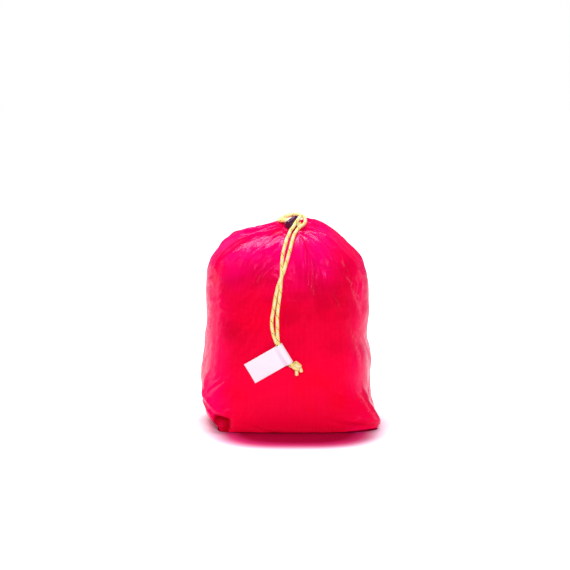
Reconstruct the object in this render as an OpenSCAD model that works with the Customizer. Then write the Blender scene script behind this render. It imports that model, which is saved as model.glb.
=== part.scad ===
// Drawstring stuff sack, filled and standing, with its cord cinched by a cord lock.
// Millimetres. +Z is up, the front faces -Y, and the origin is at the middle of the base.

/* [Sack] */
// Greatest width of the filled sack
sack_w = 159; // [150:1:168]
// Greatest depth of the filled sack, front to back
sack_d = 120; // [112:1:128]
// Height of the middle of the cinched mouth
mouth_h = 180; // [172:1:188]
// Thickness of the cloth as modelled
cloth_t = 0.6; // [0.4:0.1:0.8]
// Air between the cloth and the packed load
load_gap = 0.4; // [0.3:0.1:0.8]

/* [Drawcord] */
// Diameter of the braided cord
cord_d = 3; // [2.8:0.1:3]
// Radius of the cord's loop inside the cinched channel
gather_r = 7.2; // [7:0.1:7.4]
// Outer radius of the gathered channel
channel_r = 11; // [10.5:0.1:11.5]
// Height of the gathered channel
channel_h = 6; // [5.4:0.2:6.4]

/* [Cord lock] */
// Outer diameter of the barrel
barrel_d = 7.6; // [7.4:0.1:7.8]
// Diameter of the bore that the plunger slides in
bore_d = 5.3; // [5.2:0.1:5.4]
// Radial clearance between plunger and bore
bore_gap = 0.05; // [0.02:0.01:0.1]
// How far the plunger can be pressed
press_travel = 1.6; // [1.2:0.1:1.6]
// Diameter of the plunger's button
button_d = 6.6; // [6:0.1:7.2]

/* [Label] */
// Length of the folded label, from its sleeve to its free end
label_l = 40; // [34:1:44]
// Width of the label, along its sleeve
label_w = 20; // [18:1:20]
// Thickness of the label's two layers together
label_t = 0.6; // [0.4:0.1:0.8]

/* [Hidden] */

// The sizes that the levels and routes below are written for
nominal = [159, 120, 180];
stretch = [sack_w / nominal[0], sack_d / nominal[1], mouth_h / nominal[2]];

// Sections of the filled sack from the floor to the lip of the mouth. Each row is: height, reach to
// the left, right, front and back, squareness, centre x, centre y, rise to the back, rise to the right
LEVELS = [
    [0, 70, 76, 57, 56, 4.2, 0, 0, 0, 0],
    [6, 75, 79.5, 59, 58, 4.0, 0, 0, 0, 0],
    [18, 78, 77, 60, 60, 3.6, 0, 0, 0, 0],
    [36, 79.5, 72.5, 60, 60, 3.2, 0, 0, 0, 0],
    [60, 78, 70.5, 60, 60, 3.0, 0, 0, 0, 0],
    [100, 75.5, 68.5, 58.5, 59, 2.8, 0, 0, 0, 0],
    [132, 74.5, 69.5, 55.5, 57, 2.6, 0, 0, 0, 0],
    [151, 73.5, 63, 50.5, 53, 2.4, 1, -1, 0, 0],
    [164, 65, 52.5, 43, 48, 2.2, 2, -2, 0.02, 0.02],
    [173, 50, 41, 34, 40, 2.1, 3, -3, 0.05, 0.04],
    [178.6, 32, 29, 22.5, 27, 2.0, 3, -4.5, 0.12, 0.08],
    [181.4, 18, 18, 15, 17, 2.0, 3, -5.3, 0.24, 0.08],
    [180.6, 11.8, 11.8, 11.2, 11.2, 2.0, 3, -5.5, 0.325, 0],
    [178.4, 11.4, 11.4, 10.8, 10.8, 2.0, 3, -5.5, 0.325, 0]
];
rings_per_level = 2;
ring_points = 40;

// The load: its top level, its distance from the base panel, and the round seat below the mouth as its
// radius, its depth, and the depth of its middle
load_top_level = 10.5;
load_foot_gap = 0.3;
load_seat = [13, 4.6, 5.6];

// The seam up the back: half its width, its inner and outer side from the cloth, its rows of thread
// from the middle, and its levels and those of the thread as first level and step
seam_half = 3.5;
seam_in = 0.1;
seam_out = 0.5;
seam_rows = [-2.5, 2.5];
seam_steps = 20;
seam_levels = [0.3, 0.5];
seam_thread_levels = [0.35, 0.49];
// Levels of the threads round the base and round the channel, and how far a thread stands off
base_thread_level = 0.6;
channel_thread_level = 11.3;
thread_air = 0.02;

// The mouth: its middle, how far it leans to the front, and how far the lock is turned in it.
// In the mouth's own frame x runs along the plunger, y along the cords and z out of the mouth
mouth_at = [3, -5.5, 180];
mouth_lean = 18;
lock_turn = 60;
// Height of the cords in the lock above the cord in the channel, and where the window is
lock_lift = 7.3;
exit_y = -7.2;
exit_air = 0.4;
// Half the distance between the two cords in the lock
cord_side = cord_d / 2 + 0.05;

// The cord's bend from the lock down into the channel, in the mouth's frame with x from the middle
exit_route = [
    [1.55, -4.2, 7.3], [1.55, -5.7, 6.9], [1.55, -6.8, 5.8], [1.55, -7.2, 4.3],
    [1.6, -7.2, 2.8], [2.2, -7.0, 1.3], [3.5, -6.4, 0.3]
];
// Where the loop's arc in the channel begins and ends, from the exit
loop_start_angle = 45;
loop_steps = 18;

// Free cords: first through the lock and round behind it, in the mouth's frame, with z from the lock's
// height. Then down the front, in the sack's frame. Then through the sleeve, in the label's frame
inner_lock_route = [
    [1.55, -4.2, 0], [1.55, 1.5, 0], [1.55, 7.2, 0], [2.3, 10.4, -0.9], [4.4, 13.1, -2.2],
    [7.5, 14.6, -3.1], [10.9, 13.9, -3.1], [13.3, 11.2, -2.2], [14.1, 7.7, -0.9], [13.7, 4.1, 0.5],
    [12.4, 0.8, 1.7], [10.2, -2, 2.8], [7.2, -4.2, 3.5], [3.6, -5.2, 3.7], [-0.5, -5.5, 3.3],
    [-5, -5.8, 2.1], [-9.5, -6.2, 0.4]
];
outer_lock_route = [
    [-1.55, -4.2, 0], [-1.55, 1.5, 0], [-1.55, 7.2, 0], [-1, 10.8, -1], [0.9, 14.4, -2.6],
    [4.3, 17.2, -4.2], [8.6, 18.2, -5], [12.9, 17.1, -4.6], [16, 14, -3.3], [17.4, 9.8, -1.8],
    [17.3, 5.2, -0.6], [15.9, 0.8, 0.2], [13.6, -3.2, 0.5], [10.6, -6.8, 0.3], [6.4, -9.4, -0.3],
    [1.8, -10.6, -0.9]
];
inner_front_route = [
    [1, -23, 181], [-0.5, -28, 178], [-2.5, -34.5, 174.5], [-4, -41, 170], [-5.5, -46, 164.8],
    [-6.5, -49.8, 159], [-7, -52.4, 153.5], [-7, -54.2, 148], [-7.5, -55.8, 141.5], [-8, -57, 134.5],
    [-8.5, -57.6, 128.5], [-9.5, -58.6, 121], [-10.5, -59.4, 113.5], [-11, -60, 107],
    [-10.9, -60.8, 100], [-10.9, -62.2, 94.4], [-10.6, -64.2, 88.8]
];
outer_front_route = [
    [10, -15.5, 183.6], [7, -21, 181], [4.5, -27, 178], [3, -34, 174.8], [1.5, -41, 170.2],
    [0, -46.4, 164.8], [-2, -50.8, 158.2], [-4, -54.8, 152], [-5.9, -57.8, 146.6], [-8.2, -59, 141],
    [-10.2, -59.2, 136], [-11.6, -58.8, 130.5], [-12.8, -58.6, 124.5], [-13.8, -58.9, 118],
    [-14.8, -59.4, 112], [-15.8, -59.8, 106.5], [-16, -60.2, 101], [-15.4, -60.7, 95], [-13.8, -61.6, 89]
];
inner_sleeve_route = [
    [1.1, -1.1, 11], [1.1, -1.1, 3.5], [1.1, -1.1, -3.5], [1.1, -1.1, -11], [2.4, -1.4, -13.6]
];
outer_sleeve_route = [
    [-1.1, 1.1, 11], [-1.1, 1.1, 3.5], [-1.1, 1.1, -3.5], [-1.1, 1.1, -11], [0.2, 1, -13.6]
];

// Cord lock, along the plunger from the middle of the cords
cord_room = 2 * cord_side + cord_d + 0.2;
slot_w = cord_d + 0.3;
barrel_top = cord_room / 2 + 1.05;
plunger_foot = -cord_room / 2 - 0.95;
spring_l = 3.4;
spring_wire = 0.35;
spring_turns = 4;
spring_r = 1.9;
spring_air = 0.05;
barrel_floor = 0.8;
barrel_foot = plunger_foot - spring_l - 0.8;
button_t = 1.2;

// Label: the middle of its sleeve, its lean in the front plane and its turn towards the sack
label_at = [-4.8, -64.2, 74];
label_lean = 31;
label_turn = 7;
sleeve_r = cord_d + 0.25;
sleeve_t = 0.35;

// Knot and the two cut ends below it, in the label's frame
knot_at = [4, -0.8, -15];
knot_turn = 65;
end_routes = [
    [[2.8, -1.2, -17.4], [1.4, -1.3, -19.8], [-0.2, -1.3, -22.6]],
    [[6, 0.3, -17], [5.6, 0.6, -19.8], [4.6, 0.6, -22.4]]
];
thread_r = 0.25;

// ---- functions ----

// Point on a smooth curve through b and c, with a before b and d after c
function glide(a, b, c, d, f) = 0.5 * ((2 * b) + (c - a) * f + (2 * a - 5 * b + 4 * c - d) * f * f
    + (3 * b - a - 3 * c + d) * f * f * f);

// Section values at a level that needn't be whole
function level_at(u) = let(top = len(LEVELS) - 1, i = min(floor(u), top - 1))
    glide(LEVELS[max(i - 1, 0)], LEVELS[i], LEVELS[i + 1], LEVELS[min(i + 2, top)], u - i);

function spread(value, power) = sign(value) * pow(abs(value), power);

// Point of the cloth's outer face at a level and an angle, 0 to the right and 90 to the back
function face_point(u, a) = let(
        s = level_at(u),
        x = spread(cos(a), 2 / s[5]) * (cos(a) > 0 ? s[2] : s[1]),
        y = spread(sin(a), 2 / s[5]) * (sin(a) > 0 ? s[4] : s[3])
    ) [(s[6] + x) * stretch[0], (s[7] + y) * stretch[1], (s[0] + y * s[8] + x * s[9]) * stretch[2]];

function unit(v) = v / norm(v);

function face_normal(u, a) = let(
        top = len(LEVELS) - 1,
        around = face_point(u, a + 1) - face_point(u, a - 1),
        up = face_point(min(u + 0.03, top), a) - face_point(max(u - 0.03, 0), a)
    ) unit(cross(around, up));

// Point off the outer face: out is positive. The foot of the sack stays on the floor
function face_off(u, a, out) = let(p = face_point(u, a) + out * face_normal(u, a))
    [p[0], p[1], u == 0 ? 0 : p[2]];

// Angle at which the section reaches x, on the back half
function back_angle(u, x) = let(s = level_at(u), reach = x > 0 ? s[2] : s[1],
        a = acos(pow(abs(x) / reach, s[5] / 2))
    ) x > 0 ? a : 180 - a;

// Direction of a route at one of its points
function route_way(p, i, closed) = let(n = len(p))
    closed ? unit(p[(i + 1) % n] - p[(i + n - 1) % n]) : unit(p[min(i + 1, n - 1)] - p[max(i - 1, 0)]);

// Side vectors carried along a route without twist
function carried(p, closed, i, side) = i == len(p) ? []
    : let(way = route_way(p, i, closed), s = unit(side - way * (side * way)))
        concat([s], carried(p, closed, i + 1, s));

// ---- shapes that repeat ----

// Tube with flat ends along a route, or a closed ring
module tube_along(p, r, sides, closed = false) {
    n = len(p);
    first = route_way(p, 0, closed);
    side = carried(p, closed, 0, abs(first[2]) < 0.8 ? [0, 0, 1] : [1, 0, 0]);
    grid = [for (i = [0:n - 1]) let(w = route_way(p, i, closed), b = cross(w, side[i]))
        for (k = [0:sides - 1]) p[i] + r * (cos(360 * k / sides) * side[i] + sin(360 * k / sides) * b)];
    last = closed ? n - 1 : n - 2;
    walls = [for (i = [0:last]) for (k = [0:sides - 1]) let(j = (i + 1) % n, m = (k + 1) % sides)
        [i * sides + k, j * sides + k, j * sides + m, i * sides + m]];
    caps = closed ? [] : [[for (k = [0:sides - 1]) k],
        [for (k = [0:sides - 1]) (n - 1) * sides + sides - 1 - k]];
    polyhedron(grid, concat(walls, caps));
}

// Puts its children in the mouth's frame
module in_mouth() {
    translate([mouth_at[0] * stretch[0], mouth_at[1] * stretch[1], mouth_at[2] * stretch[2]])
        rotate([mouth_lean, 0, 0])
            rotate([0, 0, lock_turn])
                children();
}

// Puts its children in the cord lock's frame, with z along the plunger
module in_lock() {
    in_mouth()
        translate([0, 0, lock_lift])
            rotate([0, 90, 0])
                children();
}

// Puts its children in the label's frame: z along the sleeve, the leaf towards -x
module in_label() {
    translate([label_at[0] * stretch[0], label_at[1] * stretch[1], label_at[2] * stretch[2]])
        rotate([0, -label_lean, 0])
            rotate([0, 0, -label_turn])
                children();
}

// Turns a point of the mouth's frame into the sack's frame
function rot_x(p, a) = [p[0], p[1] * cos(a) - p[2] * sin(a), p[1] * sin(a) + p[2] * cos(a)];
function rot_z(p, a) = [p[0] * cos(a) - p[1] * sin(a), p[0] * sin(a) + p[1] * cos(a), p[2]];
function stretched(p) = [p[0] * stretch[0], p[1] * stretch[1], p[2] * stretch[2]];
function from_mouth(p) = stretched(mouth_at) + rot_x(rot_z(p, lock_turn), mouth_lean);
function rot_y(p, a) = [p[0] * cos(a) + p[2] * sin(a), p[1], p[2] * cos(a) - p[0] * sin(a)];
function from_label(p) = stretched(label_at) + rot_y(rot_z(p, -label_turn), -label_lean);
function free_route(lock_part, front_part, sleeve_part) = concat(
    [for (p = lock_part) from_mouth(p + [0, 0, lock_lift])], [for (p = front_part) stretched(p)],
    [for (p = sleeve_part) from_label(p)]);

// ---- the sack ----

module body_panel() {
    top = len(LEVELS) - 1;
    rings = top * rings_per_level;
    n = ring_points;
    function ring(out) = [for (i = [0:rings]) for (k = [0:n - 1])
        face_off(i / rings_per_level, 360 * k / n, out)];
    inner = (rings + 1) * n;
    color("crimson")
        polyhedron(
            concat(ring(0), ring(-cloth_t)),
            concat(
                [for (i = [0:rings - 1]) for (k = [0:n - 1]) let(m = (k + 1) % n)
                    [i * n + k, (i + 1) * n + k, (i + 1) * n + m, i * n + m]],
                [for (i = [0:rings - 1]) for (k = [0:n - 1]) let(m = (k + 1) % n, low = inner + i * n)
                    [low + k, low + m, low + n + m, low + n + k]],
                [for (k = [0:n - 1]) let(m = (k + 1) % n) [k, m, inner + m, inner + k]],
                [for (k = [0:n - 1]) let(m = (k + 1) % n, t = rings * n)
                    [t + k, inner + t + k, inner + t + m, t + m]]
            )
        );
}

module base_panel() {
    color("crimson")
        linear_extrude(cloth_t)
            polygon([for (k = [0:ring_points - 1])
                let(p = face_off(0, 360 * k / ring_points, -cloth_t - 0.2)) [p[0], p[1]]]);
}

// Strip of doubled cloth up the middle of the back
module back_seam() {
    levels = [for (i = [0:seam_steps]) seam_levels[0] + i * seam_levels[1]];
    n = len(levels);
    across = [-seam_half, 0, seam_half];
    function strip(out) = [for (u = levels) for (x = across) face_off(u, back_angle(u, x), out)];
    inner = n * 3;
    color("firebrick")
        polyhedron(
            concat(strip(seam_out), strip(seam_in)),
            concat(
                [for (i = [0:n - 2]) for (k = [0, 1])
                    [i * 3 + k, i * 3 + k + 1, (i + 1) * 3 + k + 1, (i + 1) * 3 + k]],
                [for (i = [0:n - 2]) for (k = [0, 1])
                    [inner + i * 3 + k, inner + (i + 1) * 3 + k, inner + (i + 1) * 3 + k + 1,
                        inner + i * 3 + k + 1]],
                [for (i = [0:n - 2]) [i * 3, (i + 1) * 3, inner + (i + 1) * 3, inner + i * 3]],
                [for (i = [0:n - 2])
                    [i * 3 + 2, inner + i * 3 + 2, inner + (i + 1) * 3 + 2, (i + 1) * 3 + 2]],
                [for (k = [0, 1]) [k, inner + k, inner + k + 1, k + 1]],
                [for (k = [0, 1]) let(t = (n - 1) * 3)
                    [t + k, t + k + 1, inner + t + k + 1, inner + t + k]]
            )
        );
}

module back_seam_threads() {
    color("darkred")
        for (x = seam_rows)
            tube_along([for (i = [0:seam_steps]) let(u = seam_thread_levels[0] + i * seam_thread_levels[1])
                face_off(u, back_angle(u, x), seam_out + thread_r + thread_air)], thread_r, 6);
}

module base_seam_thread() {
    color("darkred")
        tube_along([for (k = [0:ring_points - 1])
            face_off(base_thread_level, 360 * k / ring_points, thread_r + thread_air)], thread_r, 6, true);
}

// Gathered hem that the cord runs in, with the window that the cord leaves by
module drawcord_channel() {
    half = channel_h / 2;
    color("crimson")
        in_mouth()
            difference() {
                rotate_extrude($fn = 72)
                    polygon([[2, -half + 1.5], [3, -half], [channel_r - 2, -half],
                        [channel_r - 0.6, -half + 1], [channel_r, -half + 2.5], [channel_r, half - 2],
                        [channel_r - 1, half - 0.5],
                        [channel_r - 2.5, half], [4, half], [2.6, half - 0.6], [2, half - 1.6]]);
                rotate_extrude($fn = 72)
                    translate([gather_r, 0])
                        circle(r = cord_d / 2 + 0.25, $fn = 24);
                translate([-cord_side - cord_d / 2 - exit_air, exit_y - cord_d / 2 - exit_air, 0])
                    cube([2 * (cord_side + exit_air) + cord_d, cord_d + 2 * exit_air, half + 1]);
            }
}

module channel_thread() {
    color("darkred")
        tube_along([for (k = [0:ring_points - 1])
            face_off(channel_thread_level, 360 * k / ring_points, thread_r + thread_air)], thread_r, 6, true);
}

// Oval of close stitches round the window
module cord_exit_stitching() {
    turns = 24;
    color("darkred")
        in_mouth()
            tube_along([for (k = [0:turns - 1])
                [4.1 * cos(360 * k / turns), exit_y + 2.6 * sin(360 * k / turns), channel_h / 2 + 0.4]],
                0.4, 6, true);
}

// ---- the cord ----

module drawcord_loop() {
    arc = [for (i = [0:loop_steps])
        let(a = loop_start_angle + i * (360 - 2 * loop_start_angle) / loop_steps)
            [gather_r * sin(a), -gather_r * cos(a), 0]];
    far = [for (i = [len(exit_route) - 1:-1:0]) [-exit_route[i][0], exit_route[i][1], exit_route[i][2]]];
    color("gold")
        in_mouth()
            tube_along(concat(exit_route, arc, far), cord_d / 2, 8);
}

module cord_inner() {
    color("gold")
        tube_along(free_route(inner_lock_route, inner_front_route, inner_sleeve_route), cord_d / 2, 8);
}

module cord_outer() {
    color("gold")
        tube_along(free_route(outer_lock_route, outer_front_route, outer_sleeve_route), cord_d / 2, 8);
}

module cord_knot() {
    color("gold")
        in_label()
            translate(knot_at)
                rotate([0, knot_turn, 0])
                    rotate_extrude($fn = 32)
                        polygon([[0, -4.2], [2, -4.2], [3.5, -3.2], [4.2, -1.2], [4.2, 1.2], [3.5, 3.2],
                            [2, 4.2], [0, 4.2]]);
}

module cord_ends() {
    color("gold")
        for (route = end_routes)
            tube_along([for (p = route) from_label(p)], cord_d / 2, 8);
}

// ---- the cord lock ----

// Slot for the two cords, from low to high along the plunger
module cord_slot(low, high) {
    r = slot_w / 2;
    for (z = [low + r, high - r])
        translate([0, 0, z])
            rotate([90, 0, 0])
                cylinder(r = r, h = 2 * barrel_d, center = true, $fn = 32);
    translate([-r, -barrel_d, low + r])
        cube([slot_w, 2 * barrel_d, high - low - slot_w]);
}

module lock_barrel() {
    r = barrel_d / 2;
    color("dimgray")
        in_lock()
            difference() {
                rotate_extrude($fn = 48)
                    polygon([[0, barrel_foot], [r - 1, barrel_foot], [r - 0.3, barrel_foot + 0.3],
                        [r, barrel_foot + 1], [r, barrel_top - 1.2], [r - 0.2, barrel_top - 0.4],
                        [r - 0.6, barrel_top], [0, barrel_top]]);
                translate([0, 0, barrel_foot + barrel_floor])
                    cylinder(d = bore_d, h = barrel_top - barrel_foot, $fn = 48);
                cord_slot(-cord_room / 2 - press_travel, cord_room / 2);
            }
}

module lock_plunger() {
    r = bore_d / 2 - bore_gap;
    top = barrel_top + press_travel;
    color("dimgray")
        in_lock()
            difference() {
                rotate_extrude($fn = 48)
                    polygon([[0, plunger_foot], [r - 0.3, plunger_foot], [r, plunger_foot + 0.3], [r, top],
                        [button_d / 2 - 0.3, top], [button_d / 2, top + 0.3],
                        [button_d / 2, top + button_t - 0.5], [button_d / 2 - 0.5, top + button_t - 0.1],
                        [button_d / 2 - 1.2, top + button_t], [0, top + button_t]]);
                cord_slot(-cord_room / 2, cord_room / 2 + press_travel);
            }
}

module lock_spring() {
    steps = 14 * spring_turns;
    rise = spring_l - spring_wire - 2 * spring_air;
    low = plunger_foot - spring_l + spring_wire / 2 + spring_air;
    color("silver")
        in_lock()
            tube_along([for (i = [0:steps]) let(a = 360 * spring_turns * i / steps)
                [spring_r * cos(a), spring_r * sin(a), low + rise * i / steps]], spring_wire / 2, 6);
}

// ---- the label ----

module label() {
    color("white")
        in_label()
            difference() {
                union() {
                    cylinder(r = sleeve_r + sleeve_t, h = label_w, center = true, $fn = 48);
                    translate([-label_l + sleeve_r, -label_t / 2, -label_w / 2])
                        cube([label_l - sleeve_r, label_t, label_w]);
                }
                cylinder(r = sleeve_r, h = label_w + 2, center = true, $fn = 48);
            }
}

// Row of stitches beside the sleeve
module label_stitching() {
    count = 8;
    pitch = label_w / count;
    color("plum")
        in_label()
            for (i = [0:count - 1])
                translate([-sleeve_r - 1.8, 0, (i + 0.5) * pitch - label_w / 2])
                    cube([0.4, label_t + 0.3, 0.6 * pitch], center = true);
}

// ---- what is packed inside ----

module packed_load() {
    n = ring_points;
    rings = floor(load_top_level * rings_per_level);
    off = -cloth_t - load_gap;
    foot_z = cloth_t + load_foot_gap;
    walls = [for (i = [0:rings]) for (k = [0:n - 1])
        let(p = face_off(i / rings_per_level, 360 * k / n, off))
            [p[0], p[1], i == 0 ? foot_z : p[2]]];
    seat = [for (k = [0:n - 1]) let(a = 360 * k / n - lock_turn)
        from_mouth([load_seat[0] * cos(a), load_seat[0] * sin(a), -load_seat[1]])];
    crown = [from_mouth([0, 0, -load_seat[2]])];
    foot = [[0, 0, foot_z]];
    all_rings = rings + 2;
    color("maroon")
        polyhedron(
            concat(walls, seat, crown, foot),
            concat(
                [for (i = [0:all_rings - 2]) for (k = [0:n - 1]) let(m = (k + 1) % n)
                    [i * n + k, (i + 1) * n + k, (i + 1) * n + m, i * n + m]],
                [for (k = [0:n - 1]) let(m = (k + 1) % n, t = (all_rings - 1) * n)
                    [t + k, all_rings * n, t + m]],
                [for (k = [0:n - 1]) let(m = (k + 1) % n) [k, m, all_rings * n + 1]]
            )
        );
}

body_panel();
base_panel();
back_seam();
back_seam_threads();
base_seam_thread();
drawcord_channel();
channel_thread();
cord_exit_stitching();
drawcord_loop();
cord_inner();
cord_outer();
cord_knot();
cord_ends();
lock_barrel();
lock_plunger();
lock_spring();
label();
label_stitching();
packed_load();
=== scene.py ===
"""Looks of a filled drawstring stuff sack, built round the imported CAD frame. Sizes are in metres."""

import math

import bpy
import numpy as np
from mathutils import Matrix, Vector
from mathutils.bvhtree import BVHTree


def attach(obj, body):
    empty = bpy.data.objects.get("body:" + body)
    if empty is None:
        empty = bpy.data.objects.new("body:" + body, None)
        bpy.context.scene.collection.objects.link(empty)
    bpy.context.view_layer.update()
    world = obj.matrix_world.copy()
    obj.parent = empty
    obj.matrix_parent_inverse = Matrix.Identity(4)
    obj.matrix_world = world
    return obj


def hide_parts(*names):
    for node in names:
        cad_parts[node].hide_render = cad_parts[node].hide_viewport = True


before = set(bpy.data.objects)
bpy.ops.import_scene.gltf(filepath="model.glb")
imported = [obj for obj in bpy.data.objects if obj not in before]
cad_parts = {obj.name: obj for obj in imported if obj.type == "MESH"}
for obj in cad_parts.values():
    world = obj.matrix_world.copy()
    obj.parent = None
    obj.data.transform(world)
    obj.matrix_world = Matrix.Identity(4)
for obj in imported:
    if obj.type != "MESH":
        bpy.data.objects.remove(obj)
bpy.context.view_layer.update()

# ---- facts shared with part.scad ----

CORD_D = .003
MOUTH_AT, MOUTH_LEAN, LOCK_TURN, LOCK_LIFT = Vector((.003, -.0055, .18)), 18, 60, .0073
LABEL_AT, LABEL_LEAN, LABEL_TURN = Vector((-.0048, -.0642, .074)), 31, 7
GATHER_R = .0072
SLEEVE_R, LABEL_LENGTH, LABEL_WIDTH = .0034, .04, .02
KNOT_AT, KNOT_TURN = Vector((.004, -.0008, -.015)), 65
CORD_STEP = .0005

# The cords' routes. The lock routes are in the mouth's frame with z from the lock's height, the front
# routes in the sack's frame, and the sleeve and end routes in the label's frame
EXIT_ROUTE = [
    (.00155, -.0042, .0073), (.00155, -.0057, .0069), (.00155, -.0068, .0058), (.00155, -.0072, .0043),
    (.0016, -.0072, .0028), (.0022, -.007, .0013), (.0035, -.0064, .0003)
]
INNER_LOCK_ROUTE = [
    (.00155, -.0042, 0), (.00155, .0015, 0), (.00155, .0072, 0), (.0023, .0104, -.0009),
    (.0044, .0131, -.0022), (.0075, .0146, -.0031), (.0109, .0139, -.0031), (.0133, .0112, -.0022),
    (.0141, .0077, -.0009), (.0137, .0041, .0005), (.0124, .0008, .0017), (.0102, -.002, .0028),
    (.0072, -.0042, .0035), (.0036, -.0052, .0037), (-.0005, -.0055, .0033), (-.005, -.0058, .0021),
    (-.0095, -.0062, .0004)
]
OUTER_LOCK_ROUTE = [
    (-.00155, -.0042, 0), (-.00155, .0015, 0), (-.00155, .0072, 0), (-.001, .0108, -.001),
    (.0009, .0144, -.0026), (.0043, .0172, -.0042), (.0086, .0182, -.005), (.0129, .0171, -.0046),
    (.016, .014, -.0033), (.0174, .0098, -.0018), (.0173, .0052, -.0006), (.0159, .0008, .0002),
    (.0136, -.0032, .0005), (.0106, -.0068, .0003), (.0064, -.0094, -.0003), (.0018, -.0106, -.0009)
]
INNER_FRONT_ROUTE = [
    (.001, -.023, .181), (-.0005, -.028, .178), (-.0025, -.0345, .1745), (-.004, -.041, .17),
    (-.0055, -.046, .1648), (-.0065, -.0498, .159), (-.007, -.0524, .1535), (-.007, -.0542, .148),
    (-.0075, -.0558, .1415), (-.008, -.057, .1345), (-.0085, -.0576, .1285), (-.0095, -.0586, .121),
    (-.0105, -.0594, .1135), (-.011, -.06, .107), (-.0109, -.0608, .1), (-.0109, -.0622, .0944),
    (-.0106, -.0642, .0888)
]
OUTER_FRONT_ROUTE = [
    (.01, -.0155, .1836), (.007, -.021, .181), (.0045, -.027, .178), (.003, -.034, .1748),
    (.0015, -.041, .1702), (0, -.0464, .1648), (-.002, -.0508, .1582), (-.004, -.0548, .152),
    (-.0059, -.0578, .1466), (-.0082, -.059, .141), (-.0102, -.0592, .136), (-.0116, -.0588, .1305),
    (-.0128, -.0586, .1245), (-.0138, -.0589, .118), (-.0148, -.0594, .112), (-.0158, -.0598, .1065),
    (-.016, -.0602, .101), (-.0154, -.0607, .095), (-.0138, -.0616, .089)
]
INNER_SLEEVE_ROUTE = [
    (.0011, -.0011, .011), (.0011, -.0011, .0035), (.0011, -.0011, -.0035), (.0011, -.0011, -.011),
    (.0024, -.0014, -.0136)
]
OUTER_SLEEVE_ROUTE = [
    (-.0011, .0011, .011), (-.0011, .0011, .0035), (-.0011, .0011, -.0035), (-.0011, .0011, -.011),
    (.0002, .001, -.0136)
]
END_ROUTES = [
    [(.0028, -.0012, -.0174), (.0014, -.0013, -.0198), (-.0002, -.0013, -.0226)],
    [(.006, .0003, -.017), (.0056, .0006, -.0198), (.0046, .0006, -.0224)]
]

MOUTH = (Matrix.Translation(MOUTH_AT) @ Matrix.Rotation(math.radians(MOUTH_LEAN), 4, "X")
         @ Matrix.Rotation(math.radians(LOCK_TURN), 4, "Z"))
LABEL = (Matrix.Translation(LABEL_AT) @ Matrix.Rotation(math.radians(-LABEL_LEAN), 4, "Y")
         @ Matrix.Rotation(math.radians(-LABEL_TURN), 4, "Z"))
KNOT = LABEL @ Matrix.Translation(KNOT_AT) @ Matrix.Rotation(math.radians(KNOT_TURN), 4, "Y")

# ---- the camera, at the photograph's viewing angle ----

CAMERA_AIM = Vector((-.00405, -.06, .1366))
CAMERA_AWAY, CAMERA_UP, VIEW_WIDTH, SENSOR = 2.5, 9, .513, 36

camera_data = bpy.data.cameras.new("camera")
camera_data.sensor_width = SENSOR
camera_data.lens = SENSOR * CAMERA_AWAY / VIEW_WIDTH
camera = bpy.data.objects.new("camera", camera_data)
scene = bpy.context.scene
scene.collection.objects.link(camera)
scene.camera = camera
towards = Vector((0, -math.cos(math.radians(CAMERA_UP)), math.sin(math.radians(CAMERA_UP))))
camera.location = CAMERA_AIM + CAMERA_AWAY * towards
camera.rotation_euler = (-towards).to_track_quat("-Z", "Y").to_euler()

# ---- small tools ----


def placed(points, matrix):
    """Points given in one of the frames above, in the sack's frame."""
    return [matrix @ Vector(p) for p in points]


def carried(points, matrix, turned_only=False):
    """An array of points, or of directions if turned_only, taken through a matrix."""
    m = np.array(matrix)
    return points @ m[:3, :3].T + (0 if turned_only else m[:3, 3])


def way_lengths(line):
    """How far along a line each of its points is."""
    return np.r_[0, np.cumsum(np.linalg.norm(np.diff(line, axis=0), axis=1))]


def smooth_line(points, step):
    """Points a step apart on a smooth curve through the given ones."""
    p = np.array([tuple(x) for x in points], float)
    p = np.vstack([2 * p[0] - p[1], p, 2 * p[-1] - p[-2]])
    line = []
    for a, b, c, d in zip(p, p[1:], p[2:], p[3:]):
        t1 = np.linalg.norm(b - a) ** .5
        t2 = t1 + np.linalg.norm(c - b) ** .5
        t3 = t2 + np.linalg.norm(d - c) ** .5
        t = np.linspace(t1, t2, 24, endpoint=False)[:, None]
        ab = a + (b - a) * t / t1
        bc = b + (c - b) * (t - t1) / (t2 - t1)
        cd = c + (d - c) * (t - t2) / (t3 - t2)
        abc = ab + (bc - ab) * t / t2
        bcd = bc + (cd - bc) * (t - t1) / (t3 - t1)
        line.append(abc + (bcd - abc) * (t - t1) / (t2 - t1))
    line = np.vstack(line + [p[-2:-1]])
    far = way_lengths(line)
    count = max(2, round(far[-1] / step) + 1)
    return np.stack([np.interp(np.linspace(0, far[-1], count), far, line[:, i]) for i in range(3)], 1)


def unit(v):
    return v / np.maximum(np.linalg.norm(v, axis=-1, keepdims=True), 1e-12)


def step_up(x, low, high):
    """0 below low, 1 above high, and smooth between them."""
    t = np.clip((x - low) / (high - low), 0, 1)
    return t * t * (3 - 2 * t)


def bump_at(x, middle, half_width):
    """1 at the middle, falling smoothly away from it."""
    return np.exp(-((x - middle) / half_width) ** 2)


def mesh_object(name, points, faces):
    """A new object from points and faces."""
    mesh = bpy.data.meshes.new(name)
    mesh.from_pydata([tuple(p) for p in points], [], [tuple(int(i) for i in f) for f in faces])
    made = bpy.data.objects.new(name, mesh)
    scene.collection.objects.link(made)
    return made


def piece(name, points, faces, body, material, slot, uvs, stands_for=()):
    """A mesh piece that rides on a body. uvs holds one pair for each corner of each face."""
    made = mesh_object(name, points, faces)
    layer = made.data.uv_layers.new(name="cloth")
    layer.data.foreach_set("uv", np.asarray(uvs, np.float32).ravel())
    made.data.materials.append(material)
    made.data.shade_smooth()
    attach(made, body)
    if stands_for:
        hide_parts(*stands_for)
    return made


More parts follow.
